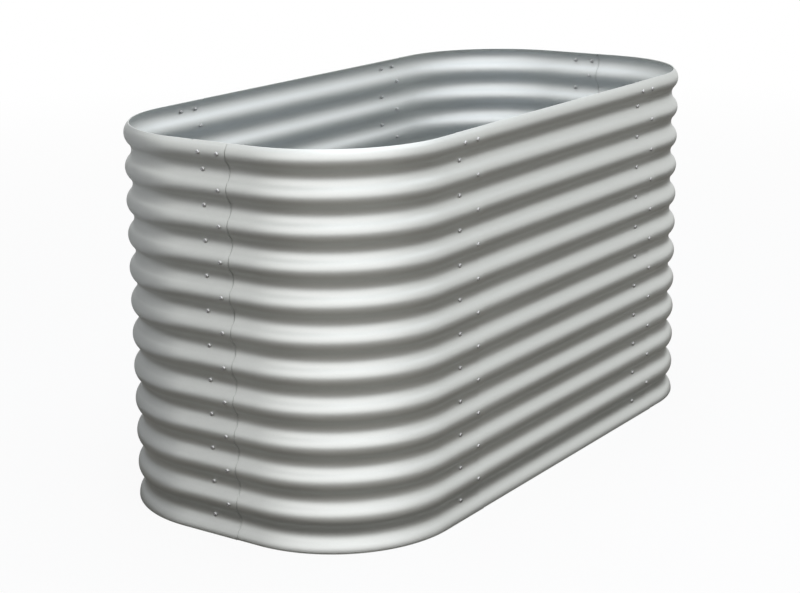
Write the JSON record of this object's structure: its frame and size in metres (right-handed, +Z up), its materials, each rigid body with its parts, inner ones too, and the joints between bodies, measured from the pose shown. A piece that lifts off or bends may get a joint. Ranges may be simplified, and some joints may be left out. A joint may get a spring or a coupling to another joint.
{
  "type": "raised garden bed",
  "caption": "Tall open-bottomed raised garden bed of lapped, bolted corrugated steel panels with rounded corners and a folded rim.",
  "frame": {"origin": "on the ground, in the middle of the bed's plan", "axes": "+X along the bed's length, +Y from the front side to the back side, +Z up"},
  "size_m": [1.6058, 0.7918, 0.86],
  "materials": {
    "coated_sheet": "satin zinc-aluminium coating on corrugated sheet",
    "zinc_fastener": "bright zinc plate"
  },
  "bodies": {
    "root": {"corner_panel_front_left": "coated_sheet", "side_panel_front": "coated_sheet", "corner_panel_front_right": "coated_sheet", "corner_panel_back_right": "coated_sheet", "side_panel_back": "coated_sheet", "corner_panel_back_left": "coated_sheet", "bolts_left_end": "zinc_fastener", "washers_left_end": "zinc_fastener", "nuts_left_end": "zinc_fastener", "bolts_front_left": "zinc_fastener", "washers_front_left": "zinc_fastener", "nuts_front_left": "zinc_fastener", "bolts_front_right": "zinc_fastener", "washers_front_right": "zinc_fastener", "nuts_front_right": "zinc_fastener", "bolts_right_end": "zinc_fastener", "washers_right_end": "zinc_fastener", "nuts_right_end": "zinc_fastener", "bolts_back_right": "zinc_fastener", "washers_back_right": "zinc_fastener", "nuts_back_right": "zinc_fastener", "bolts_back_left": "zinc_fastener", "washers_back_left": "zinc_fastener", "nuts_back_left": "zinc_fastener"}
  },
  "joints": []
}
